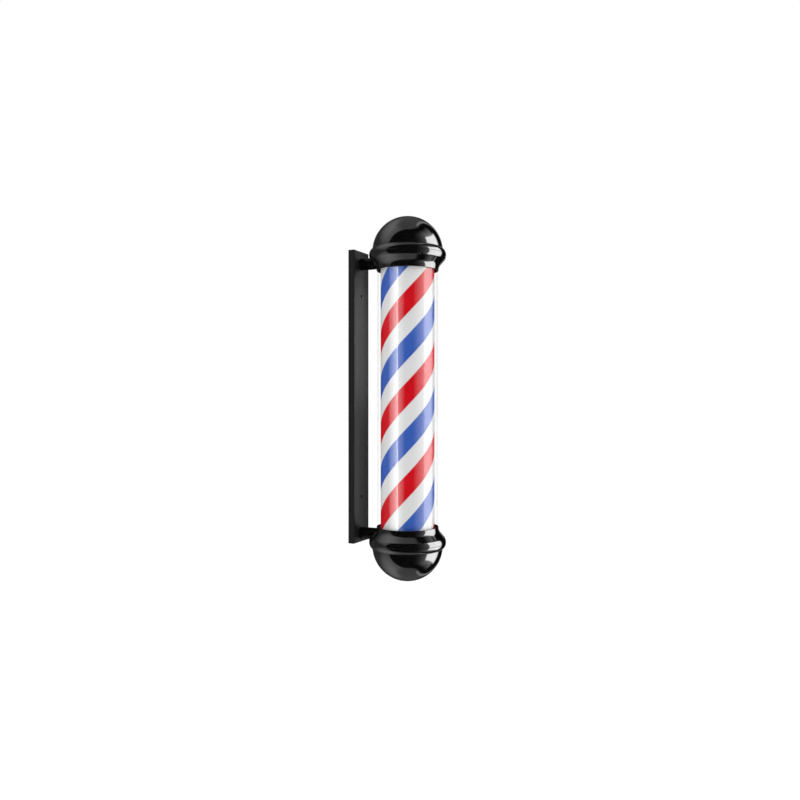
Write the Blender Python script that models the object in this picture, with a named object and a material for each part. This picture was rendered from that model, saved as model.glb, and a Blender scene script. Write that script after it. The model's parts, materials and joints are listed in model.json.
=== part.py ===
"""Wall-mounted barber pole light: a striped drum turning inside a clear tube.

The row frame is +Z up, the wall is the plane y = 0 and the room is at -Y.
Dimensions are in millimetres and become metres when a mesh is made. The two
end caps are mirror images, so both are drawn with h, the distance from a
collar's open end towards the tip of its dome.
"""
import math

import bpy
import bmesh
from mathutils import Matrix, Vector

MM = 0.001
GAP = 0.3
ROUND = 32
MEDIUM = 16
SMALL = 8
HEX = 12
SHARP_ANGLE = 35.0

# Pole
AXIS_Y = -116.0
TUBE_HALF = 249.0
TUBE_R = 58.5
TUBE_WALL = 3.0
TUBE_END_H = 5.7
SLEEVE_R = 52.5
SLEEVE_WALL = 1.0
SLEEVE_END_H = 5.5

# Collar: a straight neck, a hollow flare and the lower half of the bead
NECK_R = 60.4
FLARE_FOOT_H = 1.5
FLARE_R = 16.0
FLARE_SLOPE = 41.5
CREASE_R = 72.0
CREASE_H = 20.7
BEAD_R = 75.1
SEAM_H = 31.0
LOWER_BEAD_R = 19.9
DECK_LOW_H = 7.0
DECK_TOP_H = 9.5
DECK_R = 53.8
COLLAR_WALL = 3.0
RECESS_R = 71.4
RECESS_H = 26.4

# Dome: the upper half of the bead and a half sphere
UPPER_BEAD_R = 14.0
DOME_R = 68.9
DOME_CENTRE_H = 37.0
DOME_MEET_H = 43.0
DOME_WALL = 2.5
SPIGOT_R = 71.1
SPIGOT_INNER_R = 68.3
SPIGOT_END_H = 27.0

# Screws that hold each dome: four, square to the pole
DOME_SCREW_H = 21.5
DOME_SCREW_R = 2.0
DOME_SCREW_ENDS = (60.5, 70.6)
DOME_SCREW_ANGLES = (48.0, 138.0, 228.0, 318.0)
TAB_WIDTH = 9.0
TAB_R = (59.0, 62.3)
TAB_END_H = 15.5

# Plate inside each cap, on three screws
PLATE_R = 59.2
PLATE_LOW_H = 9.8
PLATE_TOP_H = 11.8
PLATE_SCREW_PITCH_R = 56.0
PLATE_SCREW_ANGLES = (30.0, 150.0, 270.0)
M3_R = 1.5
M3_HEAD_R = 2.75
M3_HEAD = 2.0

# Wall bracket and its back plate
BRACKET_WIDTH = 60.0
BRACKET_HEIGHT = 583.0
BRACKET_Z = 4.0
BRACKET_DEPTH = 13.0
BRACKET_SHEET = 1.5
BACK_PLATE = 2.0
WALL_SCREW_SPACING = 403.0
WALL_HOLE_R = 3.25
GROMMET_Z = -60.0
GROMMET_HOLE_R = 6.0
GROMMET_FLANGE_R = 8.5
GROMMET_BORE_R = 3.5

# Arms between bracket and caps
ARM_Z = 269.5
ARM_R = 11.75
ARM_WALL = 2.0
NIPPLE_R = 5.0
NIPPLE_BORE_R = 3.5
NIPPLE_BACK_Y = -7.0
NIPPLE_FRONT_Y = -60.0
NUT_FLATS = 14.0
NUT_THICK = 3.5
BOSS_FACE = 60.5
BOSS_WIDTH = 19.0
BOSS_LOW_H = 13.0
BOSS_TOP_H = 26.0

# Bearing at the top of the drum, 12 x 28 x 8
BEARING_HALF = 4.0
INNER_RACE_R = (6.3, 8.2)
OUTER_RACE_R = (11.9, 14.0)
BALL_R = 1.5
BALL_PITCH_R = 10.05
BALL_COUNT = 8
CAGE_R = (9.4, 10.7)
CAGE_HALF = 0.8

# Drum discs and drive
DISC_R = 51.2
DISC_RIM = 2.0
DISC_DEPTH = 6.0
DISC_SHEET = 2.0
DISC_WINDOW_R = 10.0
DISC_WINDOW_PITCH_R = 33.0
DISC_WINDOWS = 6
HUB_R = 8.5
HUB_FLANGE_R = 15.0
HUB_FLANGE = (0.3, 2.8)
HUB_END_H = -8.0
HUB_GRUB_H = -4.5
SHAFT_R = 3.5
SHAFT_ENDS_H = (-7.0, 19.0)
SHAFT_FLAT = 2.6

# Gear motor
MOTOR_R = 25.0
MOTOR_DEPTH = 21.0
MOTOR_OFFSET = 10.0
MOTOR_EAR_PITCH = 30.0
MOTOR_EAR_WIDTH = 9.0
MOTOR_EAR = 1.2
SHAFT_BORE_H = 21.0

# Stem and LED lamp on the pole's axis
STEM_R = 6.0
STEM_BORE_R = 3.5
STEM_ENDS_H = (-24.0, 19.0)
STEM_NUT_FLATS = 19.0
STEM_NUT_THICK = 5.0
LAMP_HALF = 222.7
LAMP_CORE_R = 9.0
LAMP_GLASS_R = (12.5, 14.0)
LAMP_CAP_R = 16.0
LAMP_CAP_GRIP = 5.7
LAMP_CAP_END = 6.3

# LED driver on the upper plate
DRIVER_SIZE = (68.0, 32.0, 20.0)
DRIVER_LOW_H = 23.0
DRIVER_LEG = (6.0, 24.0)

# Terminal block in the bracket
TERMINAL_SIZE = (24.0, 8.0, 16.0)
TERMINAL_Z = -30.0
TERMINAL_WELL_R = 1.8

# Leads
LEAD_R = 0.9
LEAD_SIDE_X = 14.0
LEAD_CHANNEL_Y = -5.0
LEAD_TIES_Z = (200.0, 140.0, 90.0)
LEAD_POINTS = 40

# Round rocker switches under the lower dome
SWITCH_TILT = 41.0
SWITCH_TURN = 16.7
SWITCH_SEAT_R = 68.2
SWITCH_SPOT_R = 9.6
SWITCH_HOLE_R = 7.8
SWITCH_BODY_R = 7.5
SWITCH_BEZEL_R = 9.2
SWITCH_BEZEL = 2.3
SWITCH_POCKET_R = 6.6
SWITCH_POCKET = 4.0
SWITCH_DEPTH = 17.0
ROCKER_R = 6.2
ROCKER_TILT = 8.0

# Paints and metals: colour, roughness, metallic
FINISHES = {
    "gloss_black": ((0.012, 0.012, 0.013), 0.12, 0.0),
    "satin_black": ((0.020, 0.020, 0.021), 0.45, 0.0),
    "moulded_black": ((0.015, 0.015, 0.015), 0.55, 0.0),
    "stripe_white": ((0.80, 0.80, 0.80), 0.35, 0.0),
    "moulded_white": ((0.70, 0.70, 0.68), 0.50, 0.0),
    "clear_acrylic": ((0.90, 0.92, 0.93), 0.05, 0.0),
    "bright_steel": ((0.62, 0.62, 0.63), 0.30, 1.0),
    "aluminium": ((0.72, 0.73, 0.74), 0.40, 1.0),
    "brass": ((0.70, 0.50, 0.22), 0.35, 1.0),
    "rubber": ((0.02, 0.02, 0.02), 0.80, 0.0),
    "rocker_red": ((0.60, 0.01, 0.02), 0.25, 0.0),
}


# ---------------------------------------------------------------- scene tools

def clear_scene():
    """Start from an empty scene."""
    for obj in list(bpy.data.objects):
        bpy.data.objects.remove(obj, do_unlink=True)


def finish(name):
    """The material of that name, made on first use."""
    material = bpy.data.materials.get(name)
    if material is None:
        colour, roughness, metallic = FINISHES[name]
        material = bpy.data.materials.new(name)
        material.use_nodes = True
        shader = material.node_tree.nodes["Principled BSDF"]
        shader.inputs["Base Color"].default_value = (*colour, 1.0)
        shader.inputs["Roughness"].default_value = roughness
        shader.inputs["Metallic"].default_value = metallic
        if name == "clear_acrylic":
            shader.inputs["Transmission Weight"].default_value = 1.0
    return material


def axis_empty(name, location, parent=None):
    """An empty that marks an axis or a joint."""
    empty = bpy.data.objects.new(name, None)
    bpy.context.scene.collection.objects.link(empty)
    empty.location = Vector(location) * MM
    empty.parent = parent
    return empty


def add_object(name, bm, finish_name, parent=None, place=None):
    """Turn a bmesh in millimetres into an object in metres."""
    if place is not None:
        bmesh.ops.transform(bm, matrix=place, verts=bm.verts)
    bmesh.ops.recalc_face_normals(bm, faces=bm.faces)
    bmesh.ops.scale(bm, vec=(MM, MM, MM), verts=bm.verts)
    mesh = bpy.data.meshes.new(name)
    bm.to_mesh(mesh)
    bm.free()
    mesh.materials.append(finish(finish_name))
    mesh.shade_smooth()
    mesh.set_sharp_from_angle(angle=math.radians(SHARP_ANGLE))
    obj = bpy.data.objects.new(name, mesh)
    bpy.context.scene.collection.objects.link(obj)
    obj.parent = parent
    return obj


def add_tool(name, bm, parent=None, place=None):
    """A body that only serves a Boolean modifier."""
    tool = add_object(name, bm, "bright_steel", parent, place)
    tool.hide_render = True
    tool.display_type = 'WIRE'
    return tool


def combine(obj, tool, operation='DIFFERENCE'):
    """Cut, join or trim an object with a tool body."""
    modifier = obj.modifiers.new(f"{operation.lower()}_{tool.name}", 'BOOLEAN')
    modifier.operation = operation
    modifier.object = tool
    modifier.solver = 'EXACT'
    return modifier


# --------------------------------------------------------------- shape tools

def arc(centre, radius, start, end, steps):
    """Points on an arc, both ends included; angles in degrees."""
    points = []
    for step in range(steps + 1):
        angle = math.radians(start + (end - start) * step / steps)
        points.append((centre[0] + radius * math.cos(angle),
                       centre[1] + radius * math.sin(angle)))
    return points


def turned(outline, segments=ROUND, bm=None):
    """Turn a closed outline of (radius, height) points about Z."""
    bm = bm or bmesh.new()
    rings = []
    for radius, height in outline:
        count = segments if radius > 0.0 else 1
        ring = []
        for index in range(count):
            angle = 2.0 * math.pi * index / segments
            ring.append(bm.verts.new((radius * math.cos(angle),
                                      radius * math.sin(angle), height)))
        rings.append(ring)
    for near, far in zip(rings, rings[1:] + rings[:1]):
        if len(near) == 1 and len(far) == 1:
            continue
        for index in range(segments):
            after = index + 1
            corners = [near[index % len(near)], near[after % len(near)],
                       far[after % len(far)], far[index % len(far)]]
            bm.faces.new(list(dict.fromkeys(corners)))
    return bm


def disc_outline(radius, low, high):
    """Outline of a solid disc or rod."""
    return [(0.0, low), (radius, low), (radius, high), (0.0, high)]


def ring_outline(inner, outer, low, high):
    """Outline of a plain ring or tube."""
    return [(inner, low), (outer, low), (outer, high), (inner, high)]


def hex_ring(flats, bore_r, low, high):
    """A hexagon nut with a round bore, on Z."""
    bm = turned(ring_outline(bore_r, flats / 2.0, low, high), HEX)
    for vert in bm.verts:
        if vert.co.xy.length > bore_r + GAP:
            turn = math.degrees(math.atan2(vert.co.y, vert.co.x)) % 60.0
            stretch = 1.0 / math.cos(math.radians(turn - 30.0))
            vert.co.x *= stretch
            vert.co.y *= stretch
    return bm


def block(size, centre, bm=None):
    """A box of the given size about a centre."""
    bm = bm or bmesh.new()
    place = Matrix.Translation(centre) @ Matrix.Diagonal((*size, 1.0))
    bmesh.ops.create_cube(bm, size=1.0, matrix=place)
    return bm


def prism(outline, width):
    """An outline of (x, z) points, as wide as given along Y."""
    bm = bmesh.new()
    face = bm.faces.new([bm.verts.new((x, -width / 2.0, z)) for x, z in outline])
    grown = bmesh.ops.extrude_face_region(bm, geom=[face])
    moved = [item for item in grown["geom"] if isinstance(item, bmesh.types.BMVert)]
    bmesh.ops.translate(bm, vec=(0.0, width, 0.0), verts=moved)
    return bm


def turn_z(degrees):
    return Matrix.Rotation(math.radians(degrees), 4, 'Z')


def towards_room(x, z):
    """Place a shape drawn on +Z so that +Z points at +Y, through (x, z)."""
    return Matrix.Translation((x, 0.0, z)) @ Matrix.Rotation(math.radians(-90.0), 4, 'X')


def radial(h):
    """Place a shape drawn on +Z so that +Z points at +X, at height h."""
    return Matrix.Translation((0.0, 0.0, h)) @ Matrix.Rotation(math.radians(90.0), 4, 'Y')


def merge_copies(make, places):
    """One bmesh that holds a copy of a shape at each place."""
    bm = bmesh.new()
    for place in places:
        start = len(bm.verts)
        make(bm)
        bm.verts.ensure_lookup_table()
        bmesh.ops.transform(bm, matrix=place, verts=bm.verts[start:])
    return bm


def cap_place(side):
    """From (h up) to the pole: the upper cap stands, the lower one is its mirror."""
    if side > 0:
        return Matrix.Translation((0.0, 0.0, TUBE_HALF))
    return Matrix.Translation((0.0, 0.0, -TUBE_HALF)) @ Matrix.Diagonal((1.0, 1.0, -1.0, 1.0))


def ring_places(angles, place=None):
    """One place for each angle about the pole's axis."""
    base = place or Matrix.Identity(4)
    return [turn_z(angle) @ base for angle in angles]


# ------------------------------------------------------------- cap geometry

def collar_surface(grow=0.0):
    """Outside of a collar, neck to seam."""
    flare = arc((NECK_R + FLARE_R, FLARE_FOOT_H), FLARE_R, 180.0, 180.0 - FLARE_SLOPE, 2)
    middle = SEAM_H - GAP / 2.0
    drop = math.degrees(math.asin((middle - CREASE_H) / LOWER_BEAD_R))
    bead = arc((BEAD_R - LOWER_BEAD_R, middle), LOWER_BEAD_R, -drop, 0.0, 2)
    points = [(NECK_R, 0.0)] + flare + bead
    return [(radius + grow, h) for radius, h in points]


def dome_surface(grow=0.0):
    """Outside of a dome, seam to tip."""
    middle = SEAM_H + GAP / 2.0
    rise = math.degrees(math.asin((DOME_MEET_H - middle) / UPPER_BEAD_R))
    bead = arc((BEAD_R - UPPER_BEAD_R, middle), UPPER_BEAD_R, 0.0, rise, 2)
    start = math.degrees(math.asin((DOME_MEET_H - DOME_CENTRE_H) / DOME_R))
    sphere = arc((0.0, DOME_CENTRE_H), DOME_R, start, 90.0, 7)
    side = [(radius + grow, h) for radius, h in bead[:-1] + sphere[:-1]]
    return side + [(0.0, DOME_CENTRE_H + DOME_R + grow)]


def collar_outline():
    """Whole section of a collar, with the tube's socket and the deck inside."""
    slope = math.tan(math.radians(FLARE_SLOPE))
    flare_wall = COLLAR_WALL / math.cos(math.radians(FLARE_SLOPE))
    knee_h = FLARE_FOOT_H + FLARE_R * math.sin(math.radians(FLARE_SLOPE))
    knee_r = CREASE_R - (CREASE_H - knee_h) * slope - flare_wall
    ledge_h = RECESS_H - 2.0
    inside = [
        (RECESS_R, SEAM_H - GAP / 2.0),
        (RECESS_R, RECESS_H),
        (CREASE_R - flare_wall + 1.0, ledge_h - 2.0),
        (knee_r, knee_h),
        (knee_r - 1.0, DECK_TOP_H),
        (DECK_R, DECK_TOP_H),
        (DECK_R, DECK_LOW_H),
        (TUBE_R + GAP, DECK_LOW_H),
        (TUBE_R + GAP, 0.0),
    ]
    return collar_surface() + inside


def dome_outline():
    """Whole section of a dome, with the spigot that enters the collar."""
    inner_r = DOME_R - DOME_WALL
    sphere = arc((0.0, DOME_CENTRE_H), inner_r, 90.0, 10.0, 4)[1:]
    inside = [
        (BEAD_R - 6.0, DOME_MEET_H - 3.0),
        (BEAD_R - 4.0, SEAM_H + 5.0),
        (SPIGOT_INNER_R, SEAM_H + 1.0),
        (SPIGOT_INNER_R, SPIGOT_END_H),
        (SPIGOT_R, SPIGOT_END_H),
        (SPIGOT_R, SEAM_H + GAP / 2.0),
    ]
    return dome_surface() + [(0.0, DOME_CENTRE_H + inner_r)] + sphere + inside


def cap_solid_outline(grow):
    """A solid with the cap's outside, for trimming what meets it."""
    return [(0.0, -1.0), (NECK_R + grow, -1.0)] + collar_surface(grow) + dome_surface(grow)


def dome_screw_cutter(name, side, pole):
    """Four radial holes for the screws that hold a dome."""
    def hole(bm):
        turned(disc_outline(DOME_SCREW_R + GAP, TAB_R[0] - 2.0, BEAD_R + 2.0), SMALL, bm)
    places = ring_places(DOME_SCREW_ANGLES, radial(DOME_SCREW_H))
    return add_tool(name, merge_copies(hole, places), pole, cap_place(side))


def plate_screw_cutter(name, side, pole):
    """Three holes through a plate and the deck below it."""
    def hole(bm):
        outline = disc_outline(M3_R + GAP, DECK_LOW_H - 1.0, PLATE_TOP_H + 1.0)
        turned(outline, SMALL, bm)
    shift = Matrix.Translation((PLATE_SCREW_PITCH_R, 0.0, 0.0))
    places = ring_places(PLATE_SCREW_ANGLES, shift)
    return add_tool(name, merge_copies(hole, places), pole, cap_place(side))


def make_collar(name, side, pole, nipple_cutter, dome_cutter, plate_cutter):
    """A collar with the flat boss that its arm's nut bears on."""
    collar = add_object(name, turned(collar_outline()), "gloss_black", pole, cap_place(side))
    boss_size = (BOSS_WIDTH, BEAD_R - BOSS_FACE, BOSS_TOP_H - BOSS_LOW_H)
    boss_centre = (0.0, (BEAD_R + BOSS_FACE) / 2.0, (BOSS_TOP_H + BOSS_LOW_H) / 2.0)
    boss = add_tool(f"{name}_boss", block(boss_size, boss_centre), pole, cap_place(side))
    limit_bm = turned(cap_solid_outline(-1.0))
    limit = add_tool(f"{name}_boss_limit", limit_bm, pole, cap_place(side))
    combine(boss, limit, 'INTERSECT')
    combine(collar, boss, 'UNION')
    for cutter in (nipple_cutter, dome_cutter, plate_cutter):
        combine(collar, cutter)
    return collar


def make_dome(name, side, pole, dome_cutter):
    """A dome with the four tabs that its screws enter."""
    dome = add_object(name, turned(dome_outline()), "gloss_black", pole, cap_place(side))
    foot_low = SPIGOT_END_H + 0.5
    foot_top = SEAM_H - 0.5
    outline = [(TAB_R[0], TAB_END_H), (TAB_R[1], TAB_END_H), (TAB_R[1], foot_low),
               (SPIGOT_R - 1.3, foot_low), (SPIGOT_R - 1.3, foot_top), (TAB_R[0], foot_top)]
    for number, angle in enumerate(DOME_SCREW_ANGLES, 1):
        place = cap_place(side) @ turn_z(angle)
        tab = add_tool(f"{name}_tab_{number}", prism(outline, TAB_WIDTH), pole, place)
        combine(dome, tab, 'UNION')
    combine(dome, dome_cutter)
    return dome


def make_dome_screws(stem, side, pole):
    """Headless screws, each flush in its hole."""
    for number, angle in enumerate(DOME_SCREW_ANGLES, 1):
        bm = turned(disc_outline(DOME_SCREW_R, *DOME_SCREW_ENDS), SMALL)
        place = cap_place(side) @ turn_z(angle) @ radial(DOME_SCREW_H)
        add_object(f"{stem}_{number}", bm, "satin_black", pole, place)


def make_plate_screws(stem, side, pole):
    """Pan-head screws that hold a plate to the collar's deck."""
    seat = PLATE_TOP_H + GAP
    outline = [(0.0, DECK_LOW_H + GAP), (M3_R, DECK_LOW_H + GAP), (M3_R, seat),
               (M3_HEAD_R, seat), (M3_HEAD_R, seat + M3_HEAD), (0.0, seat + M3_HEAD)]
    for number, angle in enumerate(PLATE_SCREW_ANGLES, 1):
        shift = Matrix.Translation((PLATE_SCREW_PITCH_R, 0.0, 0.0))
        place = cap_place(side) @ turn_z(angle) @ shift
        add_object(f"{stem}_{number}", turned(outline, SMALL), "bright_steel", pole, place)


# ------------------------------------------------------------ wall bracket

def make_bracket():
    """The folded channel, its back plate, grommet and terminal block."""
    middle_y = -BRACKET_DEPTH / 2.0
    channel = add_object(
        "wall_bracket",
        block((BRACKET_WIDTH, BRACKET_DEPTH, BRACKET_HEIGHT), (0.0, middle_y, BRACKET_Z)),
        "satin_black")
    inner_width = BRACKET_WIDTH - 2.0 * BRACKET_SHEET
    inner_height = BRACKET_HEIGHT - 2.0 * BRACKET_SHEET
    hollow = add_tool(
        "bracket_hollow",
        block((inner_width, BRACKET_DEPTH, inner_height),
              (0.0, middle_y + BRACKET_SHEET, BRACKET_Z)))
    combine(channel, hollow)

    def wall_hole(bm):
        turned(disc_outline(WALL_HOLE_R, -BRACKET_DEPTH - 2.0, 2.0), MEDIUM, bm)
    holes = [towards_room(0.0, BRACKET_Z + side * WALL_SCREW_SPACING / 2.0) for side in (1, -1)]
    wall_holes = add_tool("wall_screw_holes", merge_copies(wall_hole, holes))

    def nipple_hole(bm):
        turned(disc_outline(NIPPLE_R + GAP, -BRACKET_DEPTH - 2.0, -BRACKET_DEPTH + 5.0), MEDIUM, bm)
    holes = [towards_room(0.0, z) for z in (ARM_Z, -ARM_Z)]
    nipple_holes = add_tool("bracket_nipple_holes", merge_copies(nipple_hole, holes))
    combine(channel, wall_holes)
    combine(channel, nipple_holes)

    plate_size = (inner_width - 2.0 * GAP, BACK_PLATE, inner_height - 2.0 * GAP)
    plate_centre = (0.0, -BACK_PLATE / 2.0, BRACKET_Z)
    plate = add_object("back_plate", block(plate_size, plate_centre), "satin_black")
    grommet_hole = add_tool(
        "grommet_hole", turned(disc_outline(GROMMET_HOLE_R, -BACK_PLATE - 2.0, 2.0), MEDIUM),
        None, towards_room(0.0, GROMMET_Z))
    combine(plate, wall_holes)
    combine(plate, grommet_hole)

    flange_y = -BACK_PLATE - GAP
    outline = [(GROMMET_BORE_R, flange_y - 1.5), (GROMMET_FLANGE_R, flange_y - 1.5),
               (GROMMET_FLANGE_R, flange_y), (GROMMET_HOLE_R - GAP, flange_y),
               (GROMMET_HOLE_R - GAP, -GAP), (GROMMET_BORE_R, -GAP)]
    add_object("cable_grommet", turned(outline, MEDIUM), "rubber", None,
               towards_room(0.0, GROMMET_Z))

    width, depth, height = TERMINAL_SIZE
    centre_y = -BACK_PLATE - GAP - depth / 2.0
    terminal = add_object("terminal_block", block(TERMINAL_SIZE, (0.0, centre_y, TERMINAL_Z)),
                          "moulded_white")

    def well(bm):
        turned(disc_outline(TERMINAL_WELL_R, centre_y - depth, centre_y), SMALL, bm)
    spots = [(x, TERMINAL_Z + z) for x in (-width / 3.0, 0.0, width / 3.0)
             for z in (-height / 4.0, height / 4.0)]
    wells = add_tool("terminal_wells", merge_copies(well, [towards_room(*spot) for spot in spots]))
    combine(terminal, wells)


def make_arm(level, side, pole):
    """Sleeve, threaded nipple and two nuts of one arm."""
    height = side * ARM_Z
    front_y = AXIS_Y + NECK_R - 1.0
    sleeve_bm = turned(ring_outline(ARM_R - ARM_WALL, ARM_R, front_y, -BRACKET_DEPTH - GAP), MEDIUM)
    arm = add_object(f"{level}_arm", sleeve_bm, "gloss_black", None, towards_room(0.0, height))
    cope = add_tool(f"{level}_arm_cope", turned(cap_solid_outline(0.4)), pole, cap_place(side))
    combine(arm, cope)
    nipple_bm = turned(ring_outline(NIPPLE_BORE_R, NIPPLE_R, NIPPLE_FRONT_Y, NIPPLE_BACK_Y), MEDIUM)
    add_object(f"{level}_arm_nipple", nipple_bm, "bright_steel", None, towards_room(0.0, height))
    sheet_y = -BRACKET_DEPTH + BRACKET_SHEET + GAP
    boss_y = AXIS_Y + BOSS_FACE - GAP
    for name, low in (("bracket_nut", sheet_y), ("cap_nut", boss_y - NUT_THICK)):
        bm = hex_ring(NUT_FLATS, NIPPLE_R + GAP, low, low + NUT_THICK)
        add_object(f"{level}_{name}", bm, "brass", None, towards_room(0.0, height))


# ------------------------------------------------------- drum and its drive

def make_drum_disc(name, side, drum, hub_outline):
    """A spoked disc with a rim inside the sleeve and its own hub section."""
    rim_r = DISC_R - DISC_RIM
    outline = [(rim_r, -DISC_SHEET), (rim_r, -DISC_DEPTH), (DISC_R, -DISC_DEPTH), (DISC_R, 0.0)]
    disc = add_object(name, turned(outline + hub_outline), "moulded_white", drum, cap_place(side))

    def window(bm):
        turned(disc_outline(DISC_WINDOW_R, -DISC_SHEET - 1.0, 1.0), SMALL, bm)
    angles = [360.0 * number / DISC_WINDOWS for number in range(DISC_WINDOWS)]
    shift = Matrix.Translation((DISC_WINDOW_PITCH_R, 0.0, 0.0))
    windows = add_tool(f"{name}_windows", merge_copies(window, ring_places(angles, shift)),
                       drum, cap_place(side))
    combine(disc, windows)
    return disc


def make_drum(drum):
    """Sleeve, discs, hub, shaft and the outer race, all on the drum's joint."""
    sleeve_half = TUBE_HALF + SLEEVE_END_H
    outline = ring_outline(SLEEVE_R - SLEEVE_WALL, SLEEVE_R, -sleeve_half, sleeve_half)
    add_object("striped_sleeve", turned(outline), "stripe_white", drum)

    pocket_r = OUTER_RACE_R[1] + GAP
    hub_r = pocket_r + 3.2
    lip_h = -BEARING_HALF - GAP
    bearing_hub = [(hub_r, 0.0), (hub_r, BEARING_HALF + 1.0), (pocket_r, BEARING_HALF + 1.0),
                   (pocket_r, lip_h), (OUTER_RACE_R[1] - 1.4, lip_h),
                   (OUTER_RACE_R[1] - 1.4, lip_h - 1.0), (hub_r, lip_h - 1.0),
                   (hub_r, -DISC_SHEET)]
    make_drum_disc("drum_upper_disc", 1, drum, bearing_hub)
    plain_hole = [(HUB_R + GAP, 0.0), (HUB_R + GAP, -DISC_SHEET)]
    make_drum_disc("drum_lower_disc", -1, drum, plain_hole)

    race = turned(ring_outline(*OUTER_RACE_R, -BEARING_HALF, BEARING_HALF))
    add_object("bearing_outer_race", race, "bright_steel", drum, cap_place(1))

    bore = SHAFT_R + GAP
    outline = [(bore, HUB_END_H), (HUB_R, HUB_END_H), (HUB_R, HUB_FLANGE[0]),
               (HUB_FLANGE_R, HUB_FLANGE[0]), (HUB_FLANGE_R, HUB_FLANGE[1]),
               (bore, HUB_FLANGE[1])]
    hub = add_object("drive_hub", turned(outline, MEDIUM), "aluminium", drum, cap_place(-1))
    grub_hole = turned(disc_outline(M3_R + GAP, 0.0, HUB_R + 2.0), SMALL)
    combine(hub, add_tool("hub_grub_hole", grub_hole, drum, cap_place(-1) @ radial(HUB_GRUB_H)))
    grub = turned(disc_outline(M3_R, SHAFT_FLAT + GAP, HUB_R - 0.5), SMALL)
    add_object("hub_grub_screw", grub, "bright_steel", drum, cap_place(-1) @ radial(HUB_GRUB_H))

    shaft = add_object("motor_shaft", turned(disc_outline(SHAFT_R, *SHAFT_ENDS_H), MEDIUM),
                       "bright_steel", drum, cap_place(-1))
    flat_centre = (SHAFT_FLAT + SHAFT_R, 0.0, -SHAFT_R)
    flat = add_tool("shaft_flat", block((2.0 * SHAFT_R, 3.0 * SHAFT_R, 4.0 * SHAFT_R), flat_centre),
                    drum, cap_place(-1))
    combine(shaft, flat)


def make_bearing_balls(balls):
    """The caged balls, one body that turns at its own rate."""
    ring = turned(ring_outline(*CAGE_R, -CAGE_HALF, CAGE_HALF), MEDIUM)
    cage = add_object("bearing_balls", ring, "bright_steel", balls, cap_place(1))
    for number in range(BALL_COUNT):
        ball = turned([(0.0, -BALL_R)] + arc((0.0, 0.0), BALL_R, -50.0, 50.0, 2)
                      + [(0.0, BALL_R)], SMALL)
        shift = Matrix.Translation((BALL_PITCH_R, 0.0, 0.0))
        place = cap_place(1) @ turn_z(360.0 * (number + 0.5) / BALL_COUNT) @ shift
        combine(cage, add_tool(f"ball_{number + 1}", ball, balls, place), 'UNION')


def make_motor(pole, plate):
    """Gear motor under the lower plate; its can is off the shaft's axis."""
    low = PLATE_TOP_H + GAP
    outline = disc_outline(MOTOR_R, low, low + MOTOR_DEPTH)
    can_place = cap_place(-1) @ Matrix.Translation((-MOTOR_OFFSET, 0.0, 0.0))
    motor = add_object("gear_motor", turned(outline), "bright_steel", pole, can_place)
    ear_size = (MOTOR_EAR_WIDTH, 2.0 * MOTOR_EAR_PITCH + MOTOR_EAR_WIDTH, MOTOR_EAR)
    ears = add_tool("motor_ears", block(ear_size, (0.0, 0.0, low + MOTOR_EAR / 2.0)), pole, can_place)
    combine(motor, ears, 'UNION')
    bore = turned(disc_outline(SHAFT_R + GAP, low - 3.0, SHAFT_BORE_H), MEDIUM)
    combine(motor, add_tool("motor_bore", bore, pole, cap_place(-1)))
    clearance = turned(disc_outline(SHAFT_R + 2.0, PLATE_LOW_H - 1.0, PLATE_TOP_H + 0.2), MEDIUM)
    combine(plate, add_tool("plate_shaft_hole", clearance, pole, cap_place(-1)))

    def ear_hole(bm):
        turned(disc_outline(M3_R + GAP, PLATE_LOW_H - 1.0, low + MOTOR_EAR + 1.0), SMALL, bm)
    spots = [Matrix.Translation((0.0, y, 0.0)) for y in (MOTOR_EAR_PITCH, -MOTOR_EAR_PITCH)]
    holes = add_tool("motor_screw_holes", merge_copies(ear_hole, spots), pole, can_place)
    combine(motor, holes)
    combine(plate, holes)
    seat = low + MOTOR_EAR + GAP
    outline = [(0.0, PLATE_LOW_H), (M3_R, PLATE_LOW_H), (M3_R, seat), (M3_HEAD_R, seat),
               (M3_HEAD_R, seat + M3_HEAD), (0.0, seat + M3_HEAD)]
    for number, spot in enumerate(spots, 1):
        add_object(f"motor_screw_{number}", turned(outline, SMALL), "bright_steel", pole,
                   can_place @ spot)


# ------------------------------------------------------ lamp, stem, driver

def make_plate(name, side, pole, centre_r, plate_cutter):
    """The plate that closes a collar and carries what is inside the cap."""
    if centre_r > 0.0:
        outline = ring_outline(centre_r, PLATE_R, PLATE_LOW_H, PLATE_TOP_H)
    else:
        outline = disc_outline(PLATE_R, PLATE_LOW_H, PLATE_TOP_H)
    plate = add_object(name, turned(outline), "aluminium", pole, cap_place(side))
    combine(plate, plate_cutter)
    return plate


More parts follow.
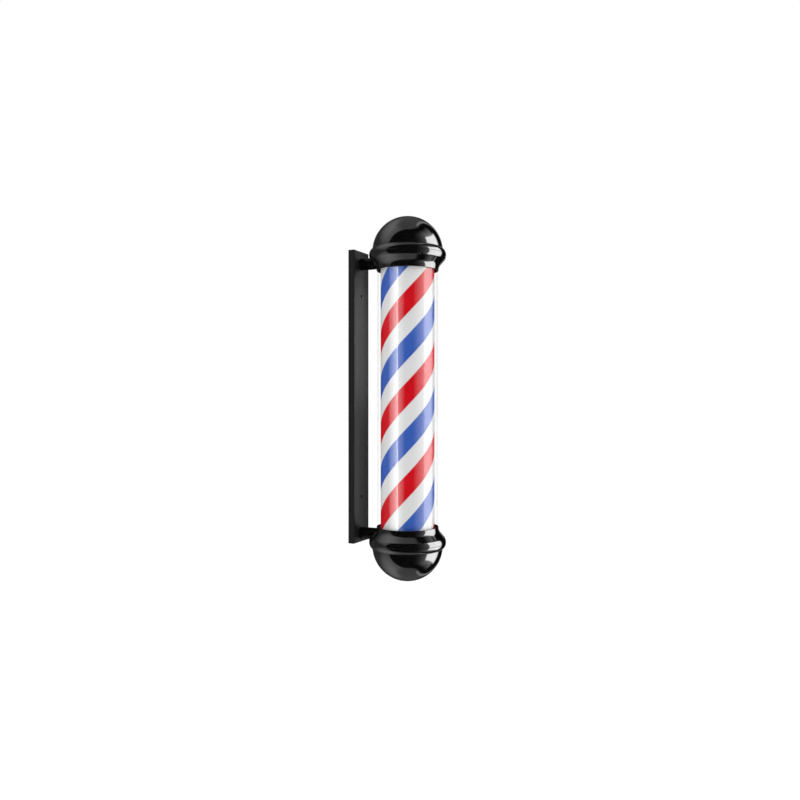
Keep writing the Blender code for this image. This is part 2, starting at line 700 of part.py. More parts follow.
def make_stem_and_lamp(pole):
    """The fixed hollow stem that carries the bearing and the LED lamp."""
    low, high = STEM_ENDS_H
    race_h = BEARING_HALF + GAP
    flange_top = PLATE_LOW_H - GAP
    outline = [(STEM_BORE_R, low), (STEM_R, low), (STEM_R, race_h), (7.6, race_h),
               (7.6, 7.6), (10.0, 7.6), (10.0, flange_top), (STEM_R, flange_top),
               (STEM_R, high), (STEM_BORE_R, high)]
    add_object("lamp_stem", turned(outline, MEDIUM), "bright_steel", pole, cap_place(1))
    nut_low = PLATE_TOP_H + GAP
    nut = hex_ring(STEM_NUT_FLATS, STEM_R + GAP, nut_low, nut_low + STEM_NUT_THICK)
    add_object("lamp_stem_nut", nut, "brass", pole, cap_place(1))
    race = turned(ring_outline(*INNER_RACE_R, -BEARING_HALF, BEARING_HALF))
    add_object("bearing_inner_race", race, "bright_steel", pole, cap_place(1))

    grip_r = LAMP_GLASS_R[1] + GAP
    cap_low = LAMP_HALF - LAMP_CAP_GRIP
    cap_floor = LAMP_HALF + GAP
    top = TUBE_HALF - race_h - GAP
    bore = STEM_R + GAP
    outline = [(bore, cap_floor), (grip_r, cap_floor), (grip_r, cap_low), (LAMP_CAP_R, cap_low),
               (LAMP_CAP_R, top - 6.0), (INNER_RACE_R[1] + 0.5, top), (bore, top)]
    add_object("lamp_upper_cap", turned(outline, MEDIUM), "aluminium", pole)
    outline = [(0.0, -LAMP_HALF - LAMP_CAP_END), (LAMP_CAP_R - 2.0, -LAMP_HALF - LAMP_CAP_END),
               (LAMP_CAP_R, -LAMP_HALF - LAMP_CAP_END + 2.0), (LAMP_CAP_R, -cap_low),
               (grip_r, -cap_low), (grip_r, -cap_floor), (0.0, -cap_floor)]
    add_object("lamp_lower_cap", turned(outline, MEDIUM), "aluminium", pole)
    core = turned(disc_outline(LAMP_CORE_R, -LAMP_HALF, LAMP_HALF), 6)
    add_object("lamp_core", core, "aluminium", pole)
    glass = turned(ring_outline(*LAMP_GLASS_R, -LAMP_HALF, LAMP_HALF), MEDIUM)
    add_object("lamp_diffuser", glass, "moulded_white", pole)


def make_driver(pole):
    """LED driver on two legs over the stem's nut."""
    length, width, height = DRIVER_SIZE
    box_centre = (0.0, 0.0, DRIVER_LOW_H + height / 2.0)
    driver = add_object("led_driver", block(DRIVER_SIZE, box_centre), "moulded_white", pole,
                        cap_place(1))
    foot = PLATE_TOP_H + GAP
    thick, leg_width = DRIVER_LEG
    for number, side in enumerate((-1.0, 1.0), 1):
        centre = (side * (length - thick) / 2.0, 0.0, (foot + DRIVER_LOW_H) / 2.0 + 0.5)
        leg = block((thick, leg_width, DRIVER_LOW_H - foot + 1.0), centre)
        combine(driver, add_tool(f"driver_leg_{number}", leg, pole, cap_place(1)), 'UNION')


# ----------------------------------------------------------------- switches

def make_switch(name, rocker_name, turn, pole, dome):
    """A round rocker switch in the lower dome and its rocker on a hinge."""
    centre = Matrix.Translation((0.0, 0.0, -TUBE_HALF - DOME_CENTRE_H))
    aim = turn_z(turn) @ Matrix.Rotation(math.radians(180.0 - SWITCH_TILT), 4, 'Y')
    seat = centre @ aim @ Matrix.Translation((0.0, 0.0, SWITCH_SEAT_R))
    outline = [(0.0, -2.0 * DOME_WALL), (SWITCH_HOLE_R, -2.0 * DOME_WALL), (SWITCH_HOLE_R, 0.0),
               (SWITCH_SPOT_R, 0.0), (SWITCH_SPOT_R, 4.0), (0.0, 4.0)]
    combine(dome, add_tool(f"{name}_hole", turned(outline, MEDIUM), pole, seat))
    outline = [(0.0, -SWITCH_DEPTH), (SWITCH_BODY_R, -SWITCH_DEPTH), (SWITCH_BODY_R, GAP),
               (SWITCH_BEZEL_R, GAP), (SWITCH_BEZEL_R, SWITCH_BEZEL - 0.7),
               (SWITCH_BEZEL_R - 0.8, SWITCH_BEZEL), (SWITCH_POCKET_R, SWITCH_BEZEL),
               (SWITCH_POCKET_R, -SWITCH_POCKET), (0.0, -SWITCH_POCKET)]
    add_object(name, turned(outline, MEDIUM), "moulded_black", pole, seat)
    hinge = axis_empty(f"{rocker_name}_hinge", (0.0, 0.0, 0.0), pole)
    hinge.matrix_local = Matrix.Translation(seat.translation * MM) @ aim
    outline = [(0.0, -2.6), (5.5, -2.6), (ROCKER_R, 0.0), (5.9, 1.8), (5.2, 3.2), (0.0, 3.2)]
    rocker = turned(outline, MEDIUM)
    tilt = Matrix.Rotation(math.radians(-ROCKER_TILT), 4, 'Y')
    add_object(rocker_name, rocker, "rocker_red", hinge, tilt)


# -------------------------------------------------------------------- leads

def smooth_route(points, count):
    """Evenly timed points on a smooth curve through the route's points."""
    ends = [points[0]] + points + [points[-1]]
    spans = len(points) - 1
    route = []
    for step in range(count):
        along = spans * step / (count - 1)
        span = min(int(along), spans - 1)
        t = along - span
        p0, p1, p2, p3 = (Vector(ends[span + offset]) for offset in range(4))
        route.append(0.5 * ((2.0 * p1) + (p2 - p0) * t + (2.0 * p0 - 5.0 * p1 + 4.0 * p2 - p3) * t * t
                            + (3.0 * p1 - p0 - 3.0 * p2 + p3) * t * t * t))
    return route


def make_lead(name, points):
    """A thin insulated lead along a route of points."""
    curve = bpy.data.curves.new(name, 'CURVE')
    curve.dimensions = '3D'
    curve.bevel_depth = LEAD_R * MM
    curve.bevel_resolution = 2
    curve.use_fill_caps = True
    spline = curve.splines.new('POLY')
    spline.points.add(LEAD_POINTS - 1)
    for point, place in zip(spline.points, smooth_route(points, LEAD_POINTS)):
        point.co = (*(place * MM), 1.0)
    curve.materials.append(finish("moulded_white"))
    lead = bpy.data.objects.new(name, curve)
    bpy.context.scene.collection.objects.link(lead)


def make_leads():
    """One lead from the LED driver and one from the motor, both to the terminal block."""
    terminal_x = TERMINAL_SIZE[0] / 3.0
    for name, side, start_y, start_h in (("upper_lead", 1.0, DRIVER_SIZE[1] / 2.0 + GAP + LEAD_R, 34.0),
                                         ("lower_lead", -1.0, MOTOR_R + GAP + LEAD_R, 26.0)):
        end_z = TERMINAL_Z + side * (TERMINAL_SIZE[2] / 2.0 + GAP + LEAD_R)
        start_x = 0.0 if side > 0 else -MOTOR_OFFSET
        cap_z = side * (TUBE_HALF + start_h)
        points = [
            (start_x, AXIS_Y + start_y, cap_z),
            (start_x * 0.5, AXIS_Y + start_y + 12.0, cap_z),
            (0.0, AXIS_Y + 50.0, side * (ARM_Z + 2.0)),
            (0.0, AXIS_Y + 64.0, side * ARM_Z),
            (0.0, AXIS_Y + 88.0, side * ARM_Z),
            (0.0, -11.0, side * (ARM_Z + 0.8)),
            (0.8, -5.6, side * (ARM_Z - 3.0)),
            (4.0, LEAD_CHANNEL_Y, side * (ARM_Z - 14.0)),
            (LEAD_SIDE_X, LEAD_CHANNEL_Y, side * (ARM_Z - 42.0)),
            *((LEAD_SIDE_X, LEAD_CHANNEL_Y, side * tie) for tie in LEAD_TIES_Z),
            (terminal_x + 2.0, LEAD_CHANNEL_Y, end_z + side * 18.0),
            (terminal_x, LEAD_CHANNEL_Y, end_z),
        ]
        make_lead(name, points)


# --------------------------------------------------------------------- main

def main():
    clear_scene()
    pole = axis_empty("pole_axis", (0.0, AXIS_Y, 0.0))
    drum = axis_empty("drum_axis", (0.0, 0.0, 0.0), pole)
    balls = axis_empty("bearing_axis", (0.0, 0.0, 0.0), pole)
    make_bracket()

    plates = {}
    domes = {}
    for level, cap, side, centre_r in (("upper", "top", 1, STEM_R + GAP), ("lower", "bottom", -1, 0.0)):
        nipple_bm = turned(disc_outline(NIPPLE_R + GAP, BOSS_FACE - 2.0, BEAD_R + 4.0), MEDIUM)
        nipple_cutter = add_tool(f"{level}_collar_nipple_hole", nipple_bm, pole,
                                 towards_room(0.0, side * ARM_Z))
        dome_cutter = dome_screw_cutter(f"{cap}_dome_screw_holes", side, pole)
        plate_cutter = plate_screw_cutter(f"{level}_plate_screw_holes", side, pole)
        make_collar(f"{level}_collar", side, pole, nipple_cutter, dome_cutter, plate_cutter)
        domes[side] = make_dome(f"{cap}_dome", side, pole, dome_cutter)
        make_dome_screws(f"{cap}_dome_screw", side, pole)
        plate_name = "top_plate" if side > 0 else "motor_plate"
        plates[side] = make_plate(plate_name, side, pole, centre_r, plate_cutter)
        make_plate_screws(f"{plate_name}_screw", side, pole)
        gasket = ring_outline(TUBE_R - TUBE_WALL, TUBE_R, TUBE_END_H + GAP, DECK_LOW_H - GAP)
        add_object(f"{level}_tube_gasket", turned(gasket), "rubber", pole, cap_place(side))
        make_arm(level, side, pole)

    tube_half = TUBE_HALF + TUBE_END_H
    tube = turned(ring_outline(TUBE_R - TUBE_WALL, TUBE_R, -tube_half, tube_half))
    add_object("outer_tube", tube, "clear_acrylic", pole)

    make_drum(drum)
    make_bearing_balls(balls)
    make_motor(pole, plates[-1])
    make_stem_and_lamp(pole)
    make_driver(pole)
    make_switch("light_switch_body", "light_rocker", -SWITCH_TURN, pole, domes[-1])
    make_switch("motor_switch_body", "motor_rocker", SWITCH_TURN, pole, domes[-1])
    make_leads()


main()
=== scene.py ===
"""Looks of the barber pole light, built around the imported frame.

Metres, +Z up, the wall is the plane y = 0 and the room is at -Y. As in the
frame, h runs from a collar's open end towards the tip of its dome, and the
lower cap is the upper one mirrored.
"""
import json
import math

import bpy
import bmesh
from mathutils import Matrix, Vector


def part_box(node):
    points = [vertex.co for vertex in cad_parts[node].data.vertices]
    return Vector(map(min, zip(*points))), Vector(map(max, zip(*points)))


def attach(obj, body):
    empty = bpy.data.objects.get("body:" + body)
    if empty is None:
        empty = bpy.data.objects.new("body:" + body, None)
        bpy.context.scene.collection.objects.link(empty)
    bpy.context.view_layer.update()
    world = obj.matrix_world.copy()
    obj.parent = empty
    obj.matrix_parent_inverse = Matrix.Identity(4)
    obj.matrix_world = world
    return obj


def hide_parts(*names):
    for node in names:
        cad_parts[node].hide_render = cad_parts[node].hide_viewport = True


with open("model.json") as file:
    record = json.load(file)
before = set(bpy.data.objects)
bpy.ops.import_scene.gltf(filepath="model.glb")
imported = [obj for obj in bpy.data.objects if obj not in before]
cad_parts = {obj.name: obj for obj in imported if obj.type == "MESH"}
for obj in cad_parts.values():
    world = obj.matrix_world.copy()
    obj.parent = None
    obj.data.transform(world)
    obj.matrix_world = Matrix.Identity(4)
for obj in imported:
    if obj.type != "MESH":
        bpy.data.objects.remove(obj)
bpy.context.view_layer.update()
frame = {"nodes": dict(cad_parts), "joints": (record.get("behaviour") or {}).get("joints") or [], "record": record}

MM = 0.001
TOUCHING = 1e-5
ROUND = 192  # sides of a turned shape
MEDIUM = 72
SMALL = 36
TUBE_SEGMENTS = 256
SHARP = 32.0  # degrees between faces at which an edge is drawn sharp


def place_of(node):
    """Lowest corner, highest corner and centre of a CAD node."""
    low, high = (Vector(corner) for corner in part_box(node))
    return low, high, (low + high) / 2.0


TUBE_LOW, TUBE_HIGH, POLE = place_of("outer_tube")
COLLAR_LOW, COLLAR_HIGH, _ = place_of("upper_collar")
_, DOME_HIGH, _ = place_of("top_dome")
CHANNEL_LOW, CHANNEL_HIGH, CHANNEL = place_of("wall_bracket")
SLEEVE_LOW, SLEEVE_HIGH, _ = place_of("striped_sleeve")
ARM_LOW, ARM_HIGH, ARM = place_of("upper_arm")

# Driving sizes, read from the frame
AXIS_Y = POLE.y
CAP_Z = COLLAR_LOW.z
TUBE_R = (TUBE_HIGH.x - TUBE_LOW.x) / 2.0
SLEEVE_R = (SLEEVE_HIGH.x - SLEEVE_LOW.x) / 2.0
BEAD_R = (COLLAR_HIGH.x - COLLAR_LOW.x) / 2.0
ARM_R = (ARM_HIGH.x - ARM_LOW.x) / 2.0
ARM_H = ARM.z - CAP_Z
TIP_H = DOME_HIGH.z - CAP_Z

# Cap section
NECK_R = 60.4 * MM
FLARE_FOOT_H = 1.5 * MM
FLARE_R = 16.0 * MM
FLARE_SLOPE = 41.5
CREASE_R = 72.0 * MM
CREASE_H = 20.7 * MM
SEAM_H = 31.0 * MM
SEAM_GAP = 0.3 * MM
LOWER_LIP_H = SEAM_H - SEAM_GAP / 2.0
UPPER_LIP_H = SEAM_H + SEAM_GAP / 2.0
SEAM_LIP = 0.7 * MM
CREASE_EDGE = 0.5 * MM
CREASE_WALL = 3.2 * MM
NECK_EDGE = 0.7 * MM
NECK_WALL = 1.0 * MM
SOCKET_EDGE = 0.3 * MM
LOWER_BEAD_R = 19.9 * MM
UPPER_BEAD_R = 14.0 * MM
DOME_R = 68.9 * MM
DOME_CENTRE_H = TIP_H - DOME_R
DOME_MEET_H = 43.0 * MM
DOME_FOOT_EDGE = 0.9 * MM
CAP_WALL = 2.5 * MM
SOCKET_H = 7.0 * MM
DECK_TOP_H = 9.5 * MM
DECK_R = 53.8 * MM
SPIGOT_R = (68.3 * MM, 71.1 * MM)
SPIGOT_END_H = 27.0 * MM
RECESS_R = 71.4 * MM
RECESS_H = 26.4 * MM
DOME_SCREW_H = 21.5 * MM
DOME_SCREW_R = 2.0 * MM
DOME_SCREW_TIP_R = 60.5 * MM
DOME_SCREW_HEAD_R = 70.6 * MM
DOME_SCREW_ANGLES = (48.0, 138.0, 228.0, 318.0)
DOME_SCREW_CLEARANCE = 0.35 * MM
DOME_SCREW_HOLE_START_R = 55.0 * MM
DOME_SCREW_HOLE_EXTRA = 6.0 * MM
DOME_SCREW_POINT_R = 1.2 * MM
DOME_SCREW_POINT_H = 0.8 * MM
DOME_SCREW_SOCKET_R = 1.15 * MM
DOME_SCREW_SOCKET_DEPTH = 2.0 * MM

# Tube, sleeve and arms
TUBE_WALL = 3.0 * MM
TUBE_EDGE = 0.4 * MM
SLEEVE_WALL = 1.0 * MM
ARM_WALL = 2.0 * MM
ARM_EDGE = 0.5 * MM
ARM_GAP = 0.35 * MM

# Bracket
CHANNEL_SHEET = 1.5 * MM
CHANNEL_BEND = 1.6 * MM
WALL_SCREW_SPACING = 403.0 * MM
WALL_HOLE_R = 3.25 * MM
WALL_HOLE_LIP = 0.4 * MM
WALL_HOLE_RELIEF_R = 6.0 * MM
NIPPLE_HOLE_R = 5.3 * MM
DRILL_EXTRA = 10.0 * MM

# Rocker switches, each on its own axis with 0 at the hinge
SWITCH_HOLE_R = 7.8 * MM
SWITCH_HOLE_DEPTH = 6.0 * MM
SWITCH_SEAT_R = 9.6 * MM
SWITCH_SEAT_CLEARANCE = 4.0 * MM
SWITCH_BODY_R = 7.5 * MM
SWITCH_BODY_DEPTH = 17.0 * MM
BEZEL_FOOT = 0.3 * MM
BEZEL_R = 9.2 * MM
BEZEL_TOP = 2.3 * MM
POCKET_R = 6.6 * MM
POCKET_DEPTH = 4.0 * MM
ROCKER_EDGE_R = 5.5 * MM
ROCKER_WAIST_R = 6.1 * MM
ROCKER_HALF = 2.6 * MM
ROCKER_DISH_R = 3.0 * MM
ROCKER_DISH_H = 2.2 * MM
ROCKER_TOP_H = 1.5 * MM
ROCKER_SLOPE = 0.10
ROCKER_DROP = 0.3 * MM
ROCKER_TILT = -8.0

# Camera: direction, in degrees from the -Y axis towards +X, and distance from the pole
VIEW_AZIMUTH = -63.5
VIEW_DISTANCE = 1.519
VIEW_HEIGHT = -0.0027
VIEW_SIDE_SHIFT = -0.0148
LENS = 35.0
SENSOR = 36.0

# Brightness of what the glossy surfaces see
SOFTBOX = 3.5
HALO = 0.35
SPILL = 0.45
GREY = 0.20
RIDGE = 0.36
RIM = 0.50

# Floor: radius and height, and its own glow, seen directly and as light on the object
FLOOR_R = 60.0
FLOOR_Z = -1.6
FLOOR_GLOW_SEEN = 0.25
FLOOR_GLOW = 0.35

# Stripes: two starts of each colour, rising with the angle about +Z
STRIPE_PERIOD = 174.5 * MM
STRIPE_PITCH = 2.0 * STRIPE_PERIOD
STRIPE_COLOURED = 0.53
STRIPE_ANGLE = 206.5
STRIPE_RED_Z = 10.3 * MM
STRIPE_COLUMNS = 240
STRIPE_STARTS = range(-4, 5)


# ---------------------------------------------------------------- materials

class Nodes:
    """A short way to write a node tree."""

    def __init__(self, tree):
        self.tree = tree

    def add(self, kind, **settings):
        """A node with some of its attributes set."""
        node = self.tree.nodes.new(kind)
        for key, value in settings.items():
            setattr(node, key, value)
        return node

    def feed(self, socket, value):
        """Link or set a socket."""
        if isinstance(value, bpy.types.NodeSocket):
            self.tree.links.new(value, socket)
        else:
            socket.default_value = value

    def math(self, operation, first, second=0.0, clamp=False):
        node = self.add("ShaderNodeMath", operation=operation, use_clamp=clamp)
        self.feed(node.inputs[0], first)
        self.feed(node.inputs[1], second)
        return node.outputs[0]

    def times(self, *factors):
        """Product of sockets and numbers."""
        product = factors[0]
        for factor in factors[1:]:
            product = self.math('MULTIPLY', product, factor)
        return product

    def ramp(self, value, start, end, low=0.0, high=1.0, smooth=True):
        """Map a value from start..end to low..high, held at both ends."""
        kind = 'SMOOTHSTEP' if smooth else 'LINEAR'
        node = self.add("ShaderNodeMapRange", interpolation_type=kind)
        for name, number in (("From Min", start), ("From Max", end), ("To Min", low), ("To Max", high)):
            node.inputs[name].default_value = number
        self.feed(node.inputs["Value"], value)
        return node.outputs["Result"]

    def noise(self, scale, detail=2.0, roughness=0.5, stretch=(1.0, 1.0, 1.0)):
        """Noise in the object's own metres."""
        coords = self.add("ShaderNodeTexCoord").outputs["Object"]
        mapping = self.add("ShaderNodeMapping")
        self.feed(mapping.inputs["Vector"], coords)
        mapping.inputs["Scale"].default_value = stretch
        node = self.add("ShaderNodeTexNoise")
        self.feed(node.inputs["Vector"], mapping.outputs["Vector"])
        node.inputs["Scale"].default_value = scale
        node.inputs["Detail"].default_value = detail
        node.inputs["Roughness"].default_value = roughness
        return node.outputs["Fac"]

    def tint(self, fac, dark, light):
        """Blend of two colours by a value."""
        node = self.add("ShaderNodeMix", data_type='RGBA')
        self.feed(node.inputs["Factor"], fac)
        node.inputs["A"].default_value = (*dark, 1.0)
        node.inputs["B"].default_value = (*light, 1.0)
        return node.outputs["Result"]

    def bump(self, height, strength, distance):
        node = self.add("ShaderNodeBump")
        node.inputs["Strength"].default_value = strength
        node.inputs["Distance"].default_value = distance
        self.feed(node.inputs["Height"], height)
        return node.outputs["Normal"]


def surface(name, dark, light, rough, grain, bump=None, stretch=(1.0, 1.0, 1.0), **sockets):
    """A procedural Principled material.

    Colour and roughness vary with a noise of that grain; bump is its own
    (scale, strength, distance), and sockets are constants on the shader.
    """
    material = bpy.data.materials.new(name)
    material.use_nodes = True
    shader = material.node_tree.nodes["Principled BSDF"]
    nodes = Nodes(material.node_tree)
    pattern = nodes.noise(grain, 4.0, 0.55, stretch)
    nodes.feed(shader.inputs["Base Color"], nodes.tint(nodes.ramp(pattern, 0.3, 0.7), dark, light))
    nodes.feed(shader.inputs["Roughness"], nodes.ramp(pattern, 0.3, 0.7, *rough))
    if bump:
        scale, strength, distance = bump
        height = nodes.noise(scale, 3.0, 0.6, stretch)
        nodes.feed(shader.inputs["Normal"], nodes.bump(height, strength, distance))
    for socket, value in sockets.items():
        shader.inputs[socket.replace("_", " ")].default_value = value
    return material


def make_materials():
    """Every finish of the light, by name."""
    brushed = (1.0, 1.0, 0.04)
    materials = {
        "gloss_black": surface("gloss_black_enamel", (0.003, 0.003, 0.003), (0.005, 0.005, 0.005),
                               (0.03, 0.05), 9.0, (55.0, 0.04, 0.0003), IOR=2.4),
        "satin_black": surface("satin_black_powder_coat", (0.013, 0.013, 0.0132),
                               (0.018, 0.018, 0.0182), (0.25, 0.31), 700.0, (2600.0, 0.2, 0.0002),
                               Specular_IOR_Level=0.10),
        "deep_black": surface("deep_black_enamel", (0.0015, 0.0015, 0.0015), (0.003, 0.003, 0.003),
                              (0.12, 0.18), 30.0, (400.0, 0.04, 0.0002), Specular_IOR_Level=0.10),
        "clear_acrylic": clear_wall("clear_acrylic", 0.24),
        "clear_bore": clear_wall("clear_acrylic_bore", 0.0),
        "stripe_white": printed("stripe_white_print", (0.695, 0.695, 0.70), (0.72, 0.72, 0.72)),
        "stripe_red": printed("stripe_red_print", (0.60, 0.0035, 0.010), (0.63, 0.0045, 0.013)),
        "stripe_blue": printed("stripe_blue_print", (0.040, 0.108, 0.44), (0.046, 0.120, 0.47)),
        "opal_diffuser": surface("opal_diffuser", (0.80, 0.80, 0.78), (0.86, 0.86, 0.84),
                                 (0.35, 0.45), 40.0, (900.0, 0.1, 0.0001)),
        "moulded_white": surface("moulded_white_plastic", (0.62, 0.62, 0.60), (0.70, 0.70, 0.68),
                                 (0.40, 0.52), 60.0, (1800.0, 0.2, 0.0001)),
        "moulded_black": surface("moulded_black_plastic", (0.012, 0.012, 0.012),
                                 (0.019, 0.019, 0.019), (0.42, 0.55), 120.0, (2400.0, 0.25, 0.0001)),
        "rocker_red": surface("rocker_red_plastic", (0.42, 0.006, 0.008), (0.50, 0.009, 0.011),
                              (0.16, 0.24), 90.0, (1500.0, 0.08, 0.0001)),
        "bright_steel": surface("zinc_plated_steel", (0.50, 0.51, 0.53), (0.64, 0.64, 0.63),
                                (0.24, 0.40), 110.0, (900.0, 0.12, 0.0001), Metallic=1.0),
        "aluminium": surface("brushed_aluminium", (0.62, 0.63, 0.64), (0.76, 0.77, 0.78),
                             (0.26, 0.42), 900.0, (1400.0, 0.2, 0.0001), brushed, Metallic=1.0),
        "brass": surface("turned_brass", (0.58, 0.40, 0.15), (0.74, 0.54, 0.25),
                         (0.22, 0.36), 160.0, (1200.0, 0.15, 0.0001), Metallic=1.0),
        "rubber": surface("black_rubber", (0.016, 0.016, 0.016), (0.026, 0.026, 0.025),
                          (0.65, 0.8), 200.0, (1600.0, 0.3, 0.0002)),
    }
    materials["stripe_print"] = materials["stripe_white"]
    return materials


def clear_wall(name, rim):
    """Thin clear acrylic: mostly see-through, with a weak mirror that grows by rim at the very edge."""
    material = bpy.data.materials.new(name)
    material.use_nodes = True
    tree = material.node_tree
    nodes = Nodes(tree)
    shader = tree.nodes["Principled BSDF"]
    pattern = nodes.noise(14.0, 3.0)
    nodes.feed(shader.inputs["Base Color"], nodes.tint(pattern, (0.98, 0.99, 0.99), (1.0, 1.0, 1.0)))
    nodes.feed(shader.inputs["Roughness"], nodes.ramp(pattern, 0.3, 0.7, 0.0, 0.012))
    shader.inputs["Metallic"].default_value = 1.0
    see_through = nodes.add("ShaderNodeBsdfTransparent")
    facing = nodes.add("ShaderNodeLayerWeight").outputs["Facing"]
    mix = nodes.add("ShaderNodeMixShader")
    mirror = nodes.math('ADD', nodes.ramp(facing, 0.38, 0.55, 0.042, 0.012),
                        nodes.ramp(facing, 0.68, 0.95, 0.0, rim))
    nodes.feed(mix.inputs["Fac"], mirror)
    tree.links.new(see_through.outputs["BSDF"], mix.inputs[1])
    tree.links.new(shader.outputs["BSDF"], mix.inputs[2])
    tree.links.new(mix.outputs["Shader"], tree.nodes["Material Output"].inputs["Surface"])
    return material


def printed(name, dark, light):
    """Ink on translucent sheet under a clear gloss film."""
    return surface(name, dark, light, (0.30, 0.38), 26.0, (400.0, 0.02, 0.0001),
                   Coat_Weight=0.15, Coat_Roughness=0.02, Coat_IOR=1.5, Specular_IOR_Level=0.05)


MATERIALS = make_materials()
SLOT_OF_NODE = {part["node"]: part["material_slot"] for part in frame["record"]["subparts"]}


# -------------------------------------------------------------- mesh helpers

def arc(centre, radius, start, end, steps):
    """Points on an arc, both ends included; angles in degrees."""
    points = []
    for step in range(steps + 1):
        angle = math.radians(start + (end - start) * step / steps)
        points.append((centre[0] + radius * math.cos(angle), centre[1] + radius * math.sin(angle)))
    return points


def rounded(corners, steps=5):
    """Outline of (r, h, fillet) corners with the fillets drawn as arcs."""
    outline = []
    for index, (x, y, fillet) in enumerate(corners):
        here = Vector((x, y))
        if fillet <= 0.0:
            outline.append((x, y))
            continue
        before = Vector(corners[index - 1][:2]) - here
        after = Vector(corners[(index + 1) % len(corners)][:2]) - here
        half = before.angle(after) / 2.0
        reach = min(fillet / math.tan(half), before.length * 0.49, after.length * 0.49)
        radius = reach * math.tan(half)
        middle = here + (before.normalized() + after.normalized()).normalized() * radius / math.sin(half)
        start = here + before.normalized() * reach - middle
        end = here + after.normalized() * reach - middle
        turn = start.angle_signed(end)
        for step in range(steps + 1):
            point = start.copy()
            point.rotate(Matrix.Rotation(-turn * step / steps, 2))
            outline.append(tuple(middle + point))
    return outline


def sharp(points):
    """Corners without fillets."""
    return [(r, h, 0.0) for r, h in points]


def turned(outline, segments=ROUND):
    """Turn a closed outline of (radius, height) points about Z."""
    bm = bmesh.new()
    rings = []
    for radius, height in outline:
        count = segments if radius > 1e-7 else 1
        rings.append([bm.verts.new((radius * math.cos(2.0 * math.pi * index / segments),
                                    radius * math.sin(2.0 * math.pi * index / segments), height))
                      for index in range(count)])
    for near, far in zip(rings, rings[1:] + rings[:1]):
        if len(near) == 1 and len(far) == 1:
            continue
        for index in range(segments):
            after = index + 1
            corners = [near[index % len(near)], near[after % len(near)],
                       far[after % len(far)], far[index % len(far)]]
            bm.faces.new(list(dict.fromkeys(corners)))
    return bm


def shade(mesh):
    mesh.shade_smooth()
    mesh.set_sharp_from_angle(angle=math.radians(SHARP))


def new_object(name, bm, place=None):
    """A mesh object from a bmesh, with outward faces."""
    if place is not None:
        bmesh.ops.transform(bm, matrix=place, verts=bm.verts)
    bmesh.ops.recalc_face_normals(bm, faces=bm.faces)
    mesh = bpy.data.meshes.new(name)
    bm.to_mesh(mesh)
    bm.free()
    shade(mesh)
    obj = bpy.data.objects.new(name, mesh)
    bpy.context.scene.collection.objects.link(obj)
    return obj


def bake_cut(obj, tools, operation='DIFFERENCE'):
    """Apply Booleans with the tools, then remove them."""
    for tool in tools:
        modifier = obj.modifiers.new(tool.name, 'BOOLEAN')
        modifier.operation = operation
        modifier.object = tool
        modifier.solver = 'EXACT'
    graph = bpy.context.evaluated_depsgraph_get()
    result = bpy.data.meshes.new_from_object(obj.evaluated_get(graph))
    obj.modifiers.clear()
    obj.data = result
    shade(result)
    for tool in tools:
        bpy.data.objects.remove(tool, do_unlink=True)


def piece(obj, nodes, body, materials=None):
    """Put a piece on its body in place of its CAD nodes, with their finish."""
    slot = SLOT_OF_NODE[nodes[0]]
    obj.data.materials.clear()
    for material in materials or [MATERIALS[slot]]:
        obj.data.materials.append(material)
    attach(obj, body)
    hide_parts(*nodes)
    return obj


def turn_z(degrees):
    return Matrix.Rotation(math.radians(degrees), 4, 'Z')


def cap_place(side):
    """From (h up, pole's axis) to the frame; the lower cap is a mirror."""
    place = Matrix.Translation((POLE.x, AXIS_Y, side * CAP_Z))
    if side > 0:
        return place
    return place @ Matrix.Diagonal((1.0, 1.0, -1.0, 1.0))


def radial(h):
    """A shape drawn on +Z points outwards along +X at height h."""
    return Matrix.Translation((0.0, 0.0, h)) @ Matrix.Rotation(math.radians(90.0), 4, 'Y')


# ------------------------------------------------------------------ the caps

def flare_points(steps):
    return arc((NECK_R + FLARE_R, FLARE_FOOT_H), FLARE_R, 180.0, 180.0 - FLARE_SLOPE, steps)


def lower_bead(steps):
    """Bead below the seam, crease to lip."""
    drop = math.degrees(math.asin((LOWER_LIP_H - CREASE_H) / LOWER_BEAD_R))
    return arc((BEAD_R - LOWER_BEAD_R, LOWER_LIP_H), LOWER_BEAD_R, -drop, 0.0, steps)


def upper_bead(steps):
    """Bead above the seam, lip to the dome's foot."""
    rise = math.degrees(math.asin((DOME_MEET_H - UPPER_LIP_H) / UPPER_BEAD_R))
    return arc((BEAD_R - UPPER_BEAD_R, UPPER_LIP_H), UPPER_BEAD_R, 0.0, rise, steps)


def cap_radius(h):
    """Radius of the collar's outside at height h, below the seam."""
    knee_h = FLARE_FOOT_H + FLARE_R * math.sin(math.radians(FLARE_SLOPE))
    if h <= FLARE_FOOT_H:
        return NECK_R
    if h <= knee_h:
        return NECK_R + FLARE_R - math.sqrt(FLARE_R ** 2 - (h - FLARE_FOOT_H) ** 2)
    if h <= CREASE_H:
        return CREASE_R - (CREASE_H - h) * math.tan(math.radians(FLARE_SLOPE))
    return BEAD_R - LOWER_BEAD_R + math.sqrt(LOWER_BEAD_R ** 2 - (h - LOWER_LIP_H) ** 2)


